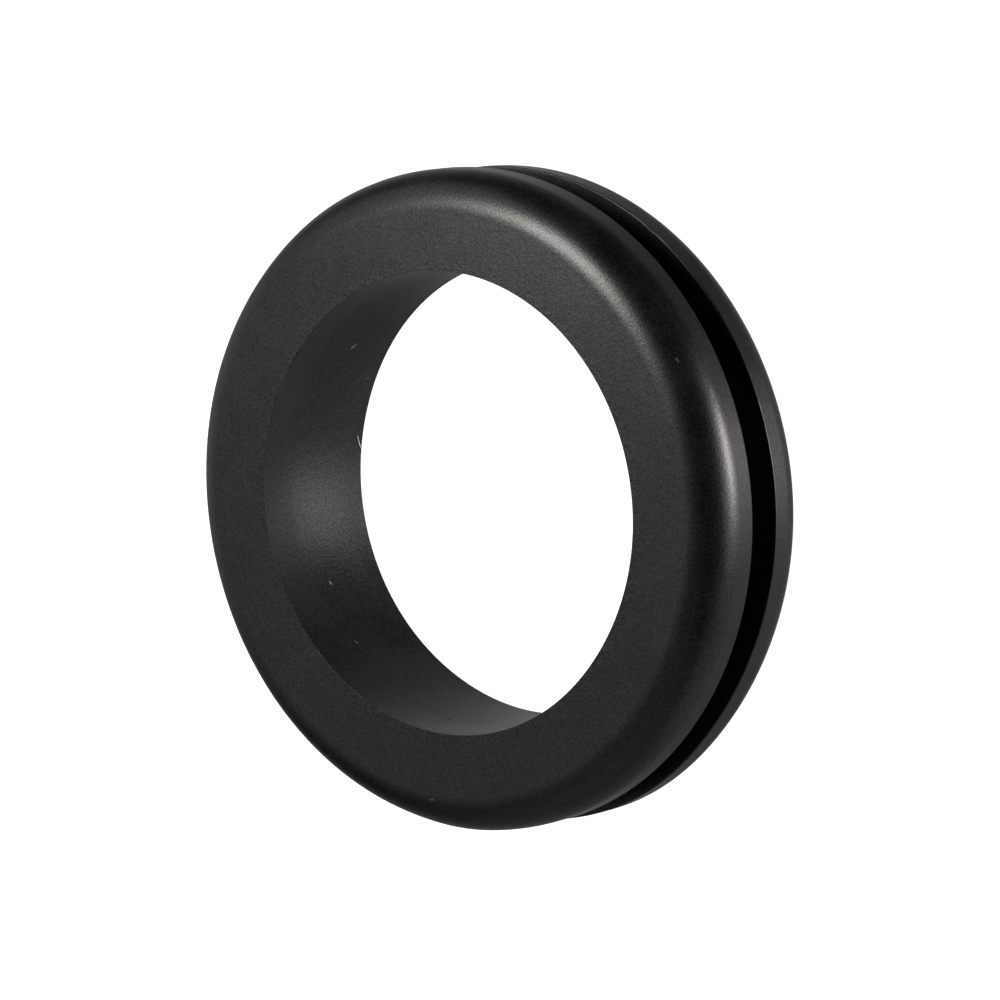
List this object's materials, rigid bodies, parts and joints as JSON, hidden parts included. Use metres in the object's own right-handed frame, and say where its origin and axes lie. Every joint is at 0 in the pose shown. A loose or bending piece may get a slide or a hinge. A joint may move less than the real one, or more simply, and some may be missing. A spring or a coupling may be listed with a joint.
{
  "type": "rubber grommet",
  "caption": "Soft black ring grommet with a wide smooth bore, two thick flanges with full rounded shoulders, and a narrow square groove between them that grips a panel's edge.",
  "frame": {"origin": "centre of the flat face of the back flange, which the ring lies on", "axes": "+Z along the ring's axis, from the back flange to the front flange; X and Y are any two radii, because the ring is round"},
  "size_m": [0.06, 0.06, 0.014],
  "materials": {
    "rubber": "satin moulded black rubber with a fine matte grain"
  },
  "bodies": {
    "root": {"grommet": "rubber"}
  },
  "joints": []
}
